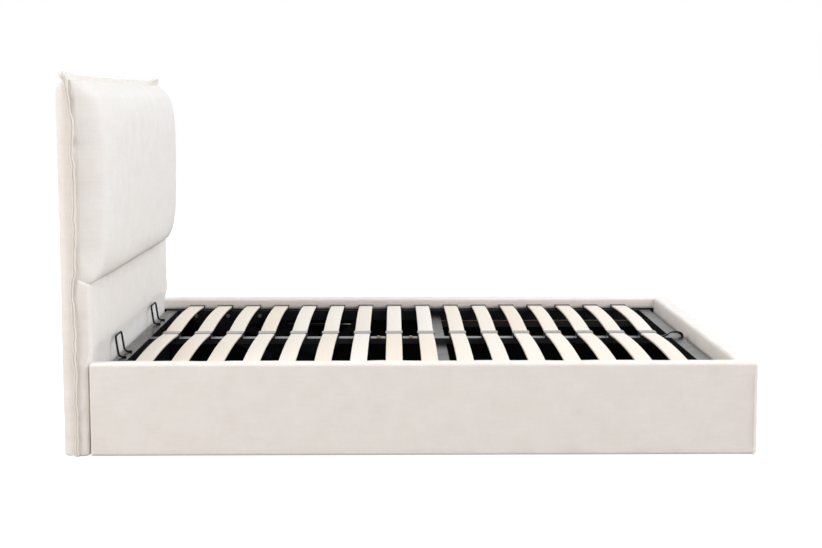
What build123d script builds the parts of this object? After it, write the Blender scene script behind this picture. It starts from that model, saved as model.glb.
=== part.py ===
from build123d import *
from math import atan2, cos, degrees, hypot, radians, sin, tan
import os

# Ottoman storage bed: upholstered headboard, padded rails that stand on the floor, and a sprung-slat
# platform that swings up and forward on a pair of arms and a gas strut at each side.
# +X runs from the headboard to the foot, +Y across, +Z up; the origin is on the floor, below the middle.
# Left is the side at -Y, which is on the left hand of a person at the foot who looks at the headboard.

os.makedirs("parts", exist_ok=True)
SIDES = (("left", -1), ("right", 1))

# Main sizes
mattress_length = 2000
mattress_width = 1500
mattress_side_play = 8
mattress_end_play = 28
rail_thickness = 62
rail_top = 291
floor_gap = 4
headboard_depth = 82
headboard_height = 1172
joint_gap = 0.3
tube_bottom = 208

well_length = mattress_length + mattress_end_play
well_width = mattress_width + 2 * mattress_side_play
overall_length = headboard_depth + well_length + rail_thickness
face_y = well_width / 2
outer_y = face_y + rail_thickness
head_x = headboard_depth - overall_length / 2
foot_x = head_x + well_length


def keep(part, name):
    """Label a finished piece and write its file."""
    part.label = name
    export_step(part, f"parts/{name}.step")


def layer(side, depth):
    """Plane parallel to a rail, at a depth inward from the rail's inner face; its axes are X and Z."""
    return Plane.XZ.offset(-side * (face_y - depth))


def spot(along, height):
    """Point on such a plane, from its distance to the headboard and its height."""
    return (head_x + along, height)


def turned(point, centre, angle):
    """Point turned about a centre, counterclockwise with +X to the right and +Z up."""
    dx = point[0] - centre[0]
    dz = point[1] - centre[1]
    c = cos(radians(angle))
    s = sin(radians(angle))
    return (centre[0] + dx * c - dz * s, centre[1] + dx * s + dz * c)


def block(x0, x1, y0, y1, z0, z1, mode=Mode.ADD):
    """Box between two corners, in the current part."""
    with BuildSketch(Plane.XY.offset(z0)) as base:
        with Locations(((x0 + x1) / 2, (y0 + y1) / 2)):
            Rectangle(abs(x1 - x0), abs(y1 - y0))
    extrude(base.sketch, amount=z1 - z0, mode=mode)


def tube(x0, x1, y0, y1, z0, z1, wall, axis):
    """Rectangular tube along an axis, open at both ends."""
    block(x0, x1, y0, y1, z0, z1)
    inset_x = 0 if axis == "x" else wall
    inset_y = 0 if axis == "y" else wall
    block(x0 + inset_x, x1 - inset_x, y0 + inset_y, y1 - inset_y, z0 + wall, z1 - wall, Mode.SUBTRACT)


def disc(side, depth, thickness, centre, radius, mode=Mode.ADD):
    """Round plate or pin square to a rail, from a depth inward."""
    with BuildSketch(layer(side, depth)) as outline:
        with Locations(centre):
            Circle(radius)
    extrude(outline.sketch, amount=side * thickness, mode=mode)


def link(side, depth, thickness, a, radius_a, b, radius_b):
    """Flat link parallel to a rail, with a round eye at each end."""
    with BuildSketch(layer(side, depth)) as outline:
        with Locations(a):
            Circle(radius_a)
        with Locations(b):
            Circle(radius_b)
        make_hull()
    extrude(outline.sketch, amount=side * thickness)


# Lift linkage: pivots by their distance to the headboard, and below the platform's side tubes or by height
rear_base_along = 430
rear_base_height = 55
rear_top_along = 192
front_top_along = 303
top_pivot_drop = 20
strut_anchor_along = 500
strut_anchor_drop = 18
strut_lug_along = 790
strut_lug_drop = 20
rear_base = spot(rear_base_along, rear_base_height)
rear_top = spot(rear_top_along, tube_bottom - top_pivot_drop)
front_top = spot(front_top_along, tube_bottom - top_pivot_drop)
strut_anchor = spot(strut_anchor_along, tube_bottom - strut_anchor_drop)
strut_lug = spot(strut_lug_along, tube_bottom - strut_lug_drop)
rear_swing = 49
front_swing_share = 0.81
platform_tilt = 38

# The front arm's base pivot is the point about which its top pivot turns from rest to fully open
rear_top_open = turned(rear_top, rear_base, -rear_swing)
front_offset_open = turned(front_top, rear_top, platform_tilt)
front_top_open = (rear_top_open[0] + front_offset_open[0] - rear_top[0],
                  rear_top_open[1] + front_offset_open[1] - rear_top[1])
front_swing = rear_swing * front_swing_share
chord = (front_top_open[0] - front_top[0], front_top_open[1] - front_top[1])
reach = 1 / (2 * tan(radians(-front_swing) / 2))
front_base = ((front_top[0] + front_top_open[0]) / 2 - chord[1] * reach,
              (front_top[1] + front_top_open[1]) / 2 + chord[0] * reach)
strut_length = hypot(strut_lug[0] - strut_anchor[0], strut_lug[1] - strut_anchor[1])
strut_angle = degrees(atan2(strut_lug[1] - strut_anchor[1], strut_lug[0] - strut_anchor[0]))

# Bolts of the corner brackets and of the lift bases
bracket_thickness = 4
bracket_leg = 60
bracket_bottom = 60
bracket_top = 165
bolt_radius = 4
bolt_head_radius = 7.5
bolt_head_height = 4.5
bolt_grip = 24
bolt_margin = 20
lower_pad_proud = 1
head_wall_x = head_x + lower_pad_proud
bolt_heights = (bracket_bottom + bolt_margin, bracket_top - bolt_margin)


def cross_bolt(side, depth, point, grip):
    """Bolt square to a rail: its head stands inward of the depth and its shank runs outward."""
    disc(side, depth, bolt_head_height, point, bolt_head_radius)
    disc(side, depth, -grip, point, bolt_radius)


def long_bolt(x, y, z, outward):
    """Bolt along the bed: its head stands on the plane x and its shank runs outward."""
    for radius, length in ((bolt_head_radius, -bolt_head_height), (bolt_radius, bolt_grip)):
        with BuildSketch(Plane.YZ.offset(x)) as outline:
            with Locations((y, z)):
                Circle(radius)
        extrude(outline.sketch, amount=outward * length)


with BuildPart() as bracket_bolts:
    for name, side in SIDES:
        leg_y = side * (face_y - bracket_leg / 2)
        for height in bolt_heights:
            cross_bolt(side, bracket_thickness, (foot_x - bracket_leg / 2, height), bolt_grip)
            cross_bolt(side, bracket_thickness, (head_wall_x + bracket_leg / 2, height), bolt_grip)
            long_bolt(foot_x - bracket_thickness, leg_y, height, 1)
            long_bolt(head_wall_x + bracket_thickness, leg_y, height, -1)
keep(bracket_bolts.part, "bracket_bolts")

base_thickness = 4
base_plate_margin = 34
base_plate_drop = 20
base_plate_rise = 34
anchor_margin = 28
anchor_rise = 14
base_low = rear_base[1] - base_plate_drop
base_outline = ((rear_base[0] - base_plate_margin, base_low), (front_base[0] + base_plate_margin, base_low),
                (front_base[0] + base_plate_margin, front_base[1] + base_plate_rise),
                (strut_anchor[0] + anchor_margin, strut_anchor[1] + anchor_rise),
                (strut_anchor[0] - anchor_margin, strut_anchor[1] + anchor_rise),
                (rear_base[0] - base_plate_margin, rear_base[1] + base_plate_rise))
base_bolt_places = ((rear_base[0] + base_plate_margin, rear_base[1] + base_plate_rise / 2),
                    (front_base[0] - base_plate_margin, front_base[1] + base_plate_rise / 2),
                    (strut_anchor[0] - anchor_margin / 2, rear_base[1] + 2 * base_plate_rise),
                    (strut_anchor[0] + anchor_margin, rear_base[1] + 2 * base_plate_rise))
with BuildPart() as lift_base_bolts:
    for name, side in SIDES:
        for place in base_bolt_places:
            cross_bolt(side, base_thickness, place, bolt_grip)
keep(lift_base_bolts.part, "lift_base_bolts")

# Headboard back board: a hidden panel that carries the upholstery and the rail brackets
board_thickness = 25
board_margin = 30
seam_x = head_x - headboard_depth / 2
board_y = outer_y - board_margin
board_top = headboard_height - board_margin
with BuildPart() as headboard_frame:
    block(seam_x - board_thickness, seam_x, -board_y, board_y, floor_gap, board_top)
keep(headboard_frame.part, "headboard_frame")

# Headboard rear half: padded, with a soft top edge, closed over the back board
headboard_side_inset = 2
pad_lift = 2
pad_bottom = floor_gap + pad_lift
back_top_radius = 38
back_side_radius = 12
pad_y = outer_y - headboard_side_inset
back_x = head_x - headboard_depth
with BuildPart() as headboard_back_pad:
    block(back_x, seam_x, -pad_y, pad_y, pad_bottom, headboard_height)
    rear_face = headboard_back_pad.faces().sort_by(Axis.X)[0]
    fillet(rear_face.edges().sort_by(Axis.Z)[-1], back_top_radius)
    fillet(headboard_back_pad.edges().filter_by(Axis.Z).group_by(Axis.X)[0], back_side_radius)
    add(headboard_frame.part, mode=Mode.SUBTRACT)
keep(headboard_back_pad.part, "headboard_back_pad")

# Headboard lower pad: the plain part that the rails butt against
pillow_bottom = 529
lower_pad_radius = 12
lower_pad_edge_radius = 8
seam_play = 2
with BuildPart() as headboard_lower_pad:
    block(seam_x, head_x + lower_pad_proud, -pad_y, pad_y, pad_bottom, pillow_bottom - seam_play)
    front_uprights = headboard_lower_pad.edges().filter_by(Axis.Z).group_by(Axis.X)[-1]
    fillet(front_uprights, lower_pad_radius)
    top_face = headboard_lower_pad.faces().sort_by(Axis.Z)[-1]
    fillet(top_face.edges().sort_by(Axis.X)[-1], lower_pad_edge_radius)
    add(bracket_bolts.part, mode=Mode.SUBTRACT)
keep(headboard_lower_pad.part, "headboard_lower_pad")

# Headboard pillow: the thick upper bolster, with its crown and its drawn-in ends
pillow_proud = 62
pillow_outline_shares = ((0.53, 0.0), (0.79, 0.067), (0.956, 0.204), (1.0, 0.516), (0.944, 0.813),
                         (0.778, 0.925), (0.356, 0.997))
pillow_station_shares = ((0.8, 1.0), (0.86, 0.985), (0.91, 0.95), (0.95, 0.88), (0.98, 0.7), (0.993, 0.5),
                         (1.0, 0.3))
pillow_depth = head_x + pillow_proud - seam_x
pillow_height = headboard_height - pillow_bottom


def pillow_section(across, depth_share):
    """Closed outline of the pillow on a plane across the bed, as deep as its share of the full depth."""
    points = [(seam_x + pillow_depth * depth_share * d, pillow_bottom + pillow_height * h)
              for d, h in pillow_outline_shares]
    low_back = (seam_x, pillow_bottom)
    high_back = (seam_x, points[-1][1])
    with BuildSketch(Plane.XZ.offset(-across)) as section:
        with BuildLine():
            Line(low_back, points[0])
            ThreePointArc(points[0], points[1], points[2])
            ThreePointArc(points[2], points[3], points[4])
            ThreePointArc(points[4], points[5], points[6])
            Line(points[6], high_back)
            Line(high_back, low_back)
        make_face()
    return section.sketch


half_stations = [(pad_y * share, depth) for share, depth in pillow_station_shares]
stations = [(-y, depth) for y, depth in reversed(half_stations)] + half_stations
with BuildPart() as headboard_pillow:
    loft([pillow_section(across, depth_share) for across, depth_share in stations], ruled=True)
keep(headboard_pillow.part, "headboard_pillow")

# Headboard flange: the flat sewn edge that stands out round the headboard, with an ear at each top corner
flange_proud = 6
flange_thickness = 5
ear_rise = 21
ear_foot = 52
ear_drop = 60
flange_y = outer_y + flange_proud
flange_top = headboard_height + flange_proud / 2
with BuildPart() as headboard_flange:
    with BuildSketch(Plane.YZ.offset(seam_x - flange_thickness / 2)):
        with BuildLine():
            Polyline((-flange_y, pad_bottom), (-flange_y, headboard_height - ear_drop),
                     (-outer_y, headboard_height + ear_rise), (ear_foot - outer_y, flange_top),
                     (outer_y - ear_foot, flange_top), (outer_y, headboard_height + ear_rise),
                     (flange_y, headboard_height - ear_drop), (flange_y, pad_bottom),
                     (pad_y, pad_bottom), (pad_y, headboard_height),
                     (-pad_y, headboard_height), (-pad_y, pad_bottom), close=True)
        make_face()
    extrude(amount=flange_thickness)
keep(headboard_flange.part, "headboard_flange")

# Rails: a timber core under padding and fabric, which turns in over the top; black lining closes the inside
core_outer_skin = 14
core_top_skin = 26
inner_skin = 4
lining_top = 250
foot_lining_top = 190
cover_bottom = floor_gap + pad_lift / 2
cover_outer_radius = 24
cover_inner_radius = 17
cover_bottom_radius = 5
corner_radius = 6
rail_head_gap = 1.5
rail_head_x = head_x + lower_pad_proud + rail_head_gap
rail_foot_x = foot_x + rail_thickness
core_top = rail_top - core_top_skin


def rail_outline(outer, inner):
    """Padded cross-section of a rail between its outer and inner face, in a plane with Z up."""
    with BuildSketch() as outline:
        with Locations(((outer + inner) / 2, (cover_bottom + rail_top) / 2)):
            Rectangle(abs(outer - inner), rail_top - cover_bottom)
        tops = outline.vertices().group_by(Axis.Y)[-1]
        away = tops.sort_by(Axis.X)[0 if outer < inner else -1]
        near = tops.sort_by(Axis.X)[-1 if outer < inner else 0]
        fillet(away, cover_outer_radius)
        fillet(near, cover_inner_radius)
        low = outline.vertices().group_by(Axis.Y)[0].sort_by(Axis.X)[0 if outer < inner else -1]
        fillet(low, cover_bottom_radius)
    return outline.sketch


for name, side in SIDES:
    core_inner_y = side * (face_y + inner_skin)
    core_sides = sorted((side * (outer_y - core_outer_skin), core_inner_y))
    with BuildPart() as core:
        block(rail_head_x, rail_foot_x - core_outer_skin, *core_sides, floor_gap, core_top)
        add(bracket_bolts.part, mode=Mode.SUBTRACT)
        add(lift_base_bolts.part, mode=Mode.SUBTRACT)
    keep(core.part, f"side_rail_core_{name}")
    with BuildPart() as lining:
        block(rail_head_x, foot_x, *sorted((core_inner_y, side * face_y)), floor_gap, lining_top)
        add(bracket_bolts.part, mode=Mode.SUBTRACT)
        add(lift_base_bolts.part, mode=Mode.SUBTRACT)
    keep(lining.part, f"rail_lining_{name}")
    with BuildPart() as cover:
        extrude(Plane.YZ.offset(rail_head_x) * rail_outline(side * outer_y, side * face_y),
                amount=rail_foot_x - rail_head_x)
        outer_uprights = cover.edges().filter_by(Axis.Z).group_by(Axis.X)[-1].sort_by(Axis.Y)
        fillet(outer_uprights[0 if side < 0 else -1], corner_radius)
        for inside in (core, lining, bracket_bolts, lift_base_bolts):
            add(inside.part, mode=Mode.SUBTRACT)
    keep(cover.part, f"side_rail_cover_{name}")

# Foot rail: the same make, between the side rails
foot_core_x = foot_x + inner_skin
with BuildPart() as foot_rail_core:
    block(foot_core_x, rail_foot_x - core_outer_skin, -face_y, face_y, floor_gap, core_top)
    add(bracket_bolts.part, mode=Mode.SUBTRACT)
keep(foot_rail_core.part, "foot_rail_core")
with BuildPart() as foot_lining:
    block(foot_x, foot_core_x, -face_y, face_y, floor_gap, foot_lining_top)
    add(bracket_bolts.part, mode=Mode.SUBTRACT)
keep(foot_lining.part, "foot_lining")
with BuildPart() as foot_rail_cover:
    extrude(Plane.XZ.offset(-face_y) * rail_outline(rail_foot_x, foot_x), amount=well_width)
    for inside in (foot_rail_core, foot_lining, bracket_bolts):
        add(inside.part, mode=Mode.SUBTRACT)
keep(foot_rail_cover.part, "foot_rail_cover")

# Corner welts: the piped seams that run up the outer face of the side rails, close to the foot corners
welt_inset = 11
welt_radius = 2.5
welt_top_drop = 8
with BuildPart() as corner_welts:
    for name, side in SIDES:
        with BuildSketch(Plane.XY.offset(cover_bottom)) as welt:
            with Locations((rail_foot_x - welt_inset, side * (outer_y + welt_radius))):
                Circle(welt_radius)
        extrude(welt.sketch, amount=rail_top - cover_outer_radius - welt_top_drop - cover_bottom)
keep(corner_welts.part, "corner_welts")

# Floor glides: low discs under the rail cores and the back board
glide_radius = 11
rail_glide_shares = (0.06, 0.35, 0.65, 0.94)
cross_glide_shares = (-0.8, 0.0, 0.8)
with BuildPart() as floor_glides:
    with BuildSketch():
        for name, side in SIDES:
            for share in rail_glide_shares:
                with Locations((head_x + well_length * share, side * (outer_y + face_y) / 2)):
                    Circle(glide_radius)
        for share in cross_glide_shares:
            with Locations((seam_x - board_thickness / 2, board_y * share),
                           (foot_x + rail_thickness / 2, face_y * share)):
                Circle(glide_radius)
    extrude(amount=floor_gap)
keep(floor_glides.part, "floor_glides")

# Rest battens: timber ledges on the foot half of the side rails, which the platform's side tubes lie on
batten_width = 37
batten_height = 30
batten_edge_radius = 2
batten_lead = 36
batten_foot_inset = 68
batten_top = tube_bottom - joint_gap
for name, side in SIDES:
    batten_sides = sorted((side * face_y, side * (face_y - batten_width)))
    with BuildPart() as batten:
        block(head_x + well_length / 2 + batten_lead, foot_x - batten_foot_inset, *batten_sides,
              batten_top - batten_height, batten_top)
        fillet(batten.edges().filter_by(Axis.X).group_by(Axis.Z)[-1], batten_edge_radius)
    keep(batten.part, f"rest_batten_{name}")

# Storage floor: cross bearers and two black boards
bearer_width = 60
bearer_height = 18
bearer_count = 5
bearer_head_inset = 60
bearer_foot_inset = 68
bearer_pitch = (well_length - bearer_head_inset - bearer_foot_inset) / (bearer_count - 1)
bearer_places = [head_x + bearer_head_inset + bearer_pitch * n for n in range(bearer_count)]
floor_board_thickness = 9
head_panel_gap = bracket_thickness + joint_gap
head_panel_thickness = 16
head_panel_top = 195
bearer_top = floor_gap + bearer_height
floor_top = bearer_top + floor_board_thickness
head_panel_x = head_x + lower_pad_proud + head_panel_gap
with BuildPart() as floor_bearers:
    for place in bearer_places:
        block(place - bearer_width / 2, place + bearer_width / 2, -face_y, face_y, floor_gap, bearer_top)
keep(floor_bearers.part, "floor_bearers")
head_panel_y = face_y - bracket_thickness - joint_gap
with BuildPart() as head_panel:
    block(head_panel_x, head_panel_x + head_panel_thickness, -head_panel_y, head_panel_y,
          floor_gap, head_panel_top)
    add(bracket_bolts.part, mode=Mode.SUBTRACT)
keep(head_panel.part, "head_panel")
floor_split_x = bearer_places[bearer_count // 2]
floor_ends = ((head_panel_x + head_panel_thickness + joint_gap, floor_split_x - joint_gap / 2, "head"),
              (floor_split_x + joint_gap / 2, foot_x - joint_gap, "foot"))
for start_x, end_x, name in floor_ends:
    with BuildPart() as floor_panel:
        block(start_x, end_x, joint_gap - face_y, face_y - joint_gap, bearer_top, floor_top)
    keep(floor_panel.part, f"floor_panel_{name}")

# Steel corner brackets: angles that hold the foot rail and the headboard to the side rails
with BuildPart() as foot_brackets:
    for name, side in SIDES:
        wall_y = side * face_y
        block(foot_x - bracket_leg, foot_x, *sorted((wall_y, wall_y - side * bracket_thickness)),
              bracket_bottom, bracket_top)
        block(foot_x - bracket_thickness, foot_x, *sorted((wall_y, wall_y - side * bracket_leg)),
              bracket_bottom, bracket_top)
    add(bracket_bolts.part, mode=Mode.SUBTRACT)
keep(foot_brackets.part, "foot_brackets")
with BuildPart() as head_brackets:
    for name, side in SIDES:
        wall_y = side * face_y
        block(head_wall_x, head_wall_x + bracket_leg, *sorted((wall_y, wall_y - side * bracket_thickness)),
              bracket_bottom, bracket_top)
        block(head_wall_x, head_wall_x + bracket_thickness, *sorted((wall_y, wall_y - side * bracket_leg)),
              bracket_bottom, bracket_top)
    add(bracket_bolts.part, mode=Mode.SUBTRACT)
keep(head_brackets.part, "head_brackets")

# Lift bases: plates on the inner faces of the rails, with a spacer for each arm and for the strut
arm_depth = 31
arm_thickness = 6
pivot_radius = 6
running_clearance = 0.1
spacer_radius = 14
pivot_head_radius = 11
pivot_head_height = 6
pivot_bury = 20
strut_depth = 17
eye_width = 12
stud_radius = 4
stud_cap_radius = 7
stud_cap_height = 3
anchor_spacer_radius = 9
base_corner_radius = 12
eye_outer = strut_depth - eye_width / 2
eye_inner = strut_depth + eye_width / 2
with BuildPart() as base_pivot_bolts:
    for name, side in SIDES:
        for pivot in (rear_base, front_base):
            shank_end = arm_depth + arm_thickness + joint_gap
            disc(side, shank_end, -arm_thickness - pivot_bury, pivot, pivot_radius)
            disc(side, shank_end, pivot_head_height, pivot, pivot_head_radius)
keep(base_pivot_bolts.part, "base_pivot_bolts")
with BuildPart() as strut_anchor_studs:
    for name, side in SIDES:
        disc(side, 0, eye_inner + joint_gap, strut_anchor, stud_radius)
        disc(side, eye_inner + joint_gap, stud_cap_height, strut_anchor, stud_cap_radius)
keep(strut_anchor_studs.part, "strut_anchor_studs")
for name, side in SIDES:
    with BuildPart() as lift_base:
        with BuildSketch(layer(side, 0)) as plate:
            with BuildLine():
                Polyline(*base_outline, close=True)
            make_face()
            fillet(plate.vertices(), base_corner_radius)
        extrude(plate.sketch, amount=side * base_thickness)
        for pivot in (rear_base, front_base):
            disc(side, 0, arm_depth - joint_gap, pivot, spacer_radius)
        disc(side, 0, eye_outer - joint_gap, strut_anchor, anchor_spacer_radius)
        add(base_pivot_bolts.part, mode=Mode.SUBTRACT)
        add(strut_anchor_studs.part, mode=Mode.SUBTRACT)
        add(lift_base_bolts.part, mode=Mode.SUBTRACT)
    keep(lift_base.part, f"lift_base_{name}")

# Lift arms: the rear arm, and the front arm with the lug that the strut pushes on
base_eye_radius = 18
top_eye_radius = 14
top_pivot_radius = 5
tube_depth = 10
tube_width = 30
plate_depth = tube_depth + tube_width
top_washer_radius = 9
lug_stud_radius = 6
lug_nut_radius = 8
lug_nut_height = 5
socket_radius = 10
socket_width = 13
socket_inner = eye_outer + socket_width
opened_clearance = 0.6
for name, side in SIDES:
    with BuildPart() as rear_arm:
        link(side, arm_depth, arm_thickness, rear_base, base_eye_radius, rear_top, top_eye_radius)
        disc(side, arm_depth, arm_thickness, rear_base, pivot_radius + running_clearance, Mode.SUBTRACT)
        disc(side, arm_depth, arm_thickness, rear_top, top_pivot_radius + running_clearance, Mode.SUBTRACT)
    keep(rear_arm.part, f"rear_arm_{name}")
    with BuildPart() as front_arm_studs:
        disc(side, arm_depth - lug_nut_height, lug_nut_height, front_top, top_washer_radius)
        disc(side, arm_depth, arm_thickness, front_top, top_pivot_radius)
        disc(side, arm_depth + arm_thickness, plate_depth - arm_depth - arm_thickness - opened_clearance,
             front_top, top_washer_radius)
        disc(side, socket_inner + opened_clearance, arm_depth - socket_inner - opened_clearance,
             strut_lug, lug_stud_radius)
        disc(side, arm_depth, arm_thickness, strut_lug, stud_radius)
        disc(side, arm_depth + arm_thickness, lug_nut_height, strut_lug, lug_nut_radius)
    keep(front_arm_studs.part, f"front_arm_studs_{name}")
    with BuildPart() as front_arm:
        link(side, arm_depth, arm_thickness, front_base, base_eye_radius, front_top, top_eye_radius)
        link(side, arm_depth, arm_thickness, front_base, base_eye_radius, strut_lug, top_eye_radius)
        disc(side, arm_depth, arm_thickness, front_base, pivot_radius + running_clearance, Mode.SUBTRACT)
        add(front_arm_studs.part, mode=Mode.SUBTRACT)
    keep(front_arm.part, f"front_arm_{name}")

# Gas struts: a cylinder on the base's stud, and a rod that pushes the front arm's lug
cylinder_radius = 10
cylinder_length = 195
cylinder_start = 13
cylinder_wall = 1.5
cylinder_end_wall = 9
eye_radius = 11
rod_radius = 4
piston_start = 30
piston_length = 10
neck_radius = 5
strut_along = (cos(radians(strut_angle)), 0, sin(radians(strut_angle)))


def strut_round(side, start, length, radius, mode=Mode.ADD):
    """Round length along a strut, from a distance beyond its anchor."""
    origin = (strut_anchor[0] + strut_along[0] * start, side * (face_y - strut_depth),
              strut_anchor[1] + strut_along[2] * start)
    with BuildSketch(Plane(origin=origin, z_dir=strut_along)) as outline:
        Circle(radius)
    extrude(outline.sketch, amount=length, mode=mode)


for name, side in SIDES:
    with BuildPart() as gas_cylinder:
        disc(side, eye_outer, eye_width, strut_anchor, eye_radius)
        strut_round(side, 0, cylinder_start, neck_radius)
        strut_round(side, cylinder_start, cylinder_length, cylinder_radius)
        strut_round(side, cylinder_start + cylinder_end_wall, cylinder_length - 2 * cylinder_end_wall,
                    cylinder_radius - cylinder_wall, Mode.SUBTRACT)
        strut_round(side, cylinder_start + cylinder_length - cylinder_end_wall, cylinder_end_wall,
                    rod_radius + running_clearance, Mode.SUBTRACT)
        disc(side, eye_outer, eye_width, strut_anchor, stud_radius + running_clearance, Mode.SUBTRACT)
    keep(gas_cylinder.part, f"gas_cylinder_{name}")
    with BuildPart() as gas_rod:
        strut_round(side, piston_start, piston_length, cylinder_radius - cylinder_wall - running_clearance)
        strut_round(side, piston_start, strut_length - piston_start, rod_radius)
        disc(side, eye_outer, socket_width, strut_lug, socket_radius)
    keep(gas_rod.part, f"gas_rod_{name}")

# Platform frame: steel tubes, with the slat holders on top
tube_height = 40
tube_wall = 2
frame_head_play = 18
frame_foot_play = 23
head_bar_width = 44
foot_bar_width = 44
centre_bar_width = 48
centre_bar_height = 20
cross_tube_slat_count = 9
cross_tube_gap = 5.6
cross_tube_width = 40
cross_tube_height = 30
plug_bury = 12
plug_flange = 2
bracket_bolt_rise = 20
frame_head_x = head_x + frame_head_play
frame_foot_x = foot_x - frame_foot_play
tube_top = tube_bottom + tube_height
slat_count = 16
slat_width = 55
first_slat_inset = 96.6
last_slat_inset = 101.4
slats_length = frame_foot_x - frame_head_x - first_slat_inset - last_slat_inset
slat_pitch = (slats_length - slat_width) / (slat_count - 1)
slat_places = [frame_head_x + first_slat_inset + slat_pitch * n for n in range(slat_count)]
tube_outer_y = face_y - tube_depth
tube_inner_y = tube_outer_y - tube_width
centre_bar_bottom = tube_top - centre_bar_height
lift_plate_thickness = 4
lift_plate_lead = 67
lift_plate_tail = 112
lift_plate_start = rear_top_along - lift_plate_lead
lift_plate_end = front_top_along + lift_plate_tail
lift_plate_drop = 20
lift_plate_shoulder = 7
lift_plate_rise = 32
lift_bolt_inset = 15
lift_bolt_height = tube_bottom + bracket_bolt_rise
lift_bolt_places = (spot(lift_plate_start + lift_bolt_inset, lift_bolt_height),
                    spot((lift_plate_start + lift_plate_end) / 2, lift_bolt_height),
                    spot(lift_plate_end - lift_bolt_inset, lift_bolt_height))
with BuildPart() as lift_bracket_bolts:
    for name, side in SIDES:
        for place in lift_bolt_places:
            cross_bolt(side, plate_depth + lift_plate_thickness, place, lift_plate_thickness + tube_width)
            disc(side, tube_depth - bolt_head_height, bolt_head_height, place, bolt_head_radius)
keep(lift_bracket_bolts.part, "lift_bracket_bolts")
with BuildPart() as top_pivot_bolts:
    for name, side in SIDES:
        nut_start = arm_depth - joint_gap - lug_nut_height
        disc(side, nut_start, lug_nut_height, rear_top, top_washer_radius)
        disc(side, nut_start, plate_depth + lift_plate_thickness - nut_start, rear_top, top_pivot_radius)
        washer_start = arm_depth + arm_thickness + joint_gap
        disc(side, washer_start, plate_depth - washer_start, rear_top, top_washer_radius)
        for pivot in (rear_top, front_top):
            disc(side, plate_depth + lift_plate_thickness, lug_nut_height, pivot, top_washer_radius)
        disc(side, plate_depth, lift_plate_thickness, front_top, top_pivot_radius)
keep(top_pivot_bolts.part, "top_pivot_bolts")
for name, side in SIDES:
    with BuildPart() as lift_bracket:
        with BuildSketch(layer(side, plate_depth)) as plate:
            with BuildLine():
                shoulder = tube_bottom + lift_plate_shoulder
                crest = tube_bottom + lift_plate_rise
                Polyline(spot(lift_plate_start, shoulder), spot(lift_plate_start, crest),
                         spot(lift_plate_end, crest), spot(lift_plate_end, shoulder),
                         (front_top[0] + lift_plate_drop, front_top[1] - lift_plate_drop),
                         (rear_top[0] - lift_plate_drop, rear_top[1] - lift_plate_drop), close=True)
            make_face()
            fillet(plate.vertices(), lift_plate_shoulder)
        extrude(plate.sketch, amount=side * lift_plate_thickness)
        add(lift_bracket_bolts.part, mode=Mode.SUBTRACT)
        add(top_pivot_bolts.part, mode=Mode.SUBTRACT)
    keep(lift_bracket.part, f"lift_bracket_{name}")
    with BuildPart() as side_tube:
        tube(frame_head_x, frame_foot_x, *sorted((side * tube_outer_y, side * tube_inner_y)),
             tube_bottom, tube_top, tube_wall, "x")
        add(lift_bracket_bolts.part, mode=Mode.SUBTRACT)
    keep(side_tube.part, f"side_tube_{name}")
with BuildPart() as tube_plugs:
    for name, side in SIDES:
        inner = sorted((side * (tube_outer_y - tube_wall), side * (tube_inner_y + tube_wall)))
        flange = sorted((side * tube_outer_y, side * tube_inner_y))
        for end_x, outward in ((frame_head_x, -1), (frame_foot_x, 1)):
            block(*sorted((end_x, end_x - outward * plug_bury)), *inner,
                  tube_bottom + tube_wall, tube_top - tube_wall)
            block(*sorted((end_x, end_x + outward * plug_flange)), *flange, tube_bottom, tube_top)
keep(tube_plugs.part, "tube_plugs")
with BuildPart() as head_bar:
    tube(frame_head_x, frame_head_x + head_bar_width, -tube_inner_y, tube_inner_y, tube_bottom, tube_top,
         tube_wall, "y")
keep(head_bar.part, "head_bar")
with BuildPart() as foot_bar:
    tube(frame_foot_x - foot_bar_width, frame_foot_x, -tube_inner_y, tube_inner_y, tube_bottom, tube_top,
         tube_wall, "y")
keep(foot_bar.part, "foot_bar")
with BuildPart() as centre_bar:
    tube(frame_head_x + head_bar_width, frame_foot_x - foot_bar_width,
         -centre_bar_width / 2, centre_bar_width / 2, centre_bar_bottom, tube_top, tube_wall, "x")
keep(centre_bar.part, "centre_bar")
cross_tube_x = slat_places[cross_tube_slat_count - 1] + slat_width + cross_tube_gap
with BuildPart() as cross_tube:
    tube(cross_tube_x, cross_tube_x + cross_tube_width, -tube_inner_y, tube_inner_y,
         centre_bar_bottom - cross_tube_height, centre_bar_bottom, tube_wall, "y")
keep(cross_tube.part, "cross_tube")

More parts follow.
